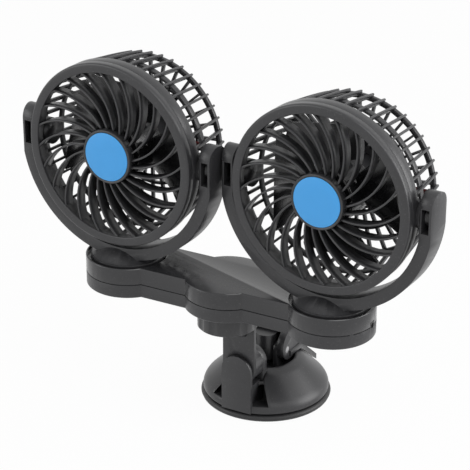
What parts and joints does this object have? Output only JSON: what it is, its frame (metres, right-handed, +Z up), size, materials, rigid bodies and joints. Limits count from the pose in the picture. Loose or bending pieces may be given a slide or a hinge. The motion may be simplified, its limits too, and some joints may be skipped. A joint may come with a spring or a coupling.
{
  "type": "dual head car fan",
  "caption": "Two round caged fans with coloured hub discs on swivelling yokes, carried by a lobed arm and a tilting neck on a lever-locked suction cup for a car.",
  "frame": {"origin": "centre of the suction cup's flat sealing face", "axes": "+X along the arm, to the right as seen from in front of the fans; -Y the way the fans face; +Z up"},
  "size_m": [0.257, 0.1125, 0.2157],
  "materials": {
    "body_black": "satin",
    "fan_black": "satin",
    "rubber_black": "matt",
    "badge_blue": "gloss",
    "steel": "plain",
    "motor_steel": "plain",
    "bell_white": "plain",
    "splice_white": "plain",
    "ferrite": "plain",
    "lead_red": "satin",
    "lead_black": "satin"
  },
  "bodies": {
    "base": {"suction_cup": "rubber_black", "cup_cover": "body_black", "stem_spring": "steel", "neck_hinge_pin": "steel"},
    "plunger": {"plunger_stem": "body_black"},
    "lever": {"suction_lever": "body_black", "lever_pin": "steel"},
    "neck": {"neck_bracket": "body_black", "stud_washer": "steel", "stud_screw": "steel"},
    "nut": {"locking_nut": "body_black"},
    "arm": {"arm_lower_shell": "body_black", "arm_upper_shell": "body_black", "arm_screws": "steel", "cord_gland": "rubber_black", "arm_wiring": "lead_black", "lead_splice": "splice_white"},
    "left_swivel": {"left_yoke": "body_black", "left_yoke_lead": "lead_black", "left_wave_washer": "steel", "left_swivel_clip": "steel"},
    "left_head": {"left_front_guard": "body_black", "left_hub_badge": "badge_blue", "left_rear_cage": "body_black", "left_motor_can": "motor_steel", "left_motor_end_bell": "bell_white", "left_motor_magnets": "ferrite", "left_motor_screws": "steel", "left_motor_cap": "body_black", "left_head_leads": "lead_red"},
    "left_rotor": {"left_impeller": "fan_black", "left_impeller_cap": "fan_black", "left_motor_shaft": "steel", "left_motor_armature": "motor_steel"},
    "right_swivel": {"right_yoke": "body_black", "right_yoke_lead": "lead_black", "right_wave_washer": "steel", "right_swivel_clip": "steel"},
    "right_head": {"right_front_guard": "body_black", "right_hub_badge": "badge_blue", "right_rear_cage": "body_black", "right_motor_can": "motor_steel", "right_motor_end_bell": "bell_white", "right_motor_magnets": "ferrite", "right_motor_screws": "steel", "right_motor_cap": "body_black", "right_head_leads": "lead_red"},
    "right_rotor": {"right_impeller": "fan_black", "right_impeller_cap": "fan_black", "right_motor_shaft": "steel", "right_motor_armature": "motor_steel"}
  },
  "joints": [
    {"name": "neck_tilt", "type": "hinge", "parent": "base", "child": "neck", "pos_m": [0, -0.0287, 0.0311], "axis": [0, 1, 0], "range_deg": [-20, 20]},
    {"name": "arm_swivel", "type": "hinge", "parent": "neck", "child": "arm", "pos_m": [0, -0.0475, 0.0805], "axis": [0, 0, 1], "continuous": true},
    {"name": "nut_turn", "type": "hinge", "parent": "neck", "child": "nut", "pos_m": [0, -0.0475, 0.0729], "axis": [0, 0, 1], "range_deg": [-60, 0]},
    {"name": "lever_swing", "type": "hinge", "parent": "base", "child": "lever", "pos_m": [0, 0, 0.031], "axis": [1, 0, 0], "range_deg": [0, 95]},
    {"name": "stem_slide", "type": "slide", "parent": "base", "child": "plunger", "axis": [0, 0, 1], "range_m": [-0.002, 0]},
    {"name": "left_yoke_swivel", "type": "hinge", "parent": "arm", "child": "left_swivel", "pos_m": [-0.06448, -0.0475, 0.0973], "axis": [0, 0, 1], "range_deg": [-180, 180]},
    {"name": "left_head_tilt", "type": "hinge", "parent": "left_swivel", "child": "left_head", "pos_m": [-0.06466, -0.05049, 0.16233], "axis": [0.9981, -0.061, 0], "range_deg": [-90, 90]},
    {"name": "left_fan_spin", "type": "hinge", "parent": "left_head", "child": "left_rotor", "pos_m": [-0.06448, -0.0475, 0.16233], "axis": [-0.061, -0.9981, 0], "continuous": true},
    {"name": "right_yoke_swivel", "type": "hinge", "parent": "arm", "child": "right_swivel", "pos_m": [0.06448, -0.0475, 0.0973], "axis": [0, 0, 1], "range_deg": [-180, 180]},
    {"name": "right_head_tilt", "type": "hinge", "parent": "right_swivel", "child": "right_head", "pos_m": [0.06429, -0.05049, 0.16233], "axis": [0.9981, -0.061, 0], "range_deg": [-90, 90]},
    {"name": "right_fan_spin", "type": "hinge", "parent": "right_head", "child": "right_rotor", "pos_m": [0.06448, -0.0475, 0.16233], "axis": [-0.061, -0.9981, 0], "continuous": true}
  ],
  "couplings": [
    {"joint": "stem_slide", "follows": "lever_swing", "m_per_rad": -0.0012}
  ]
}
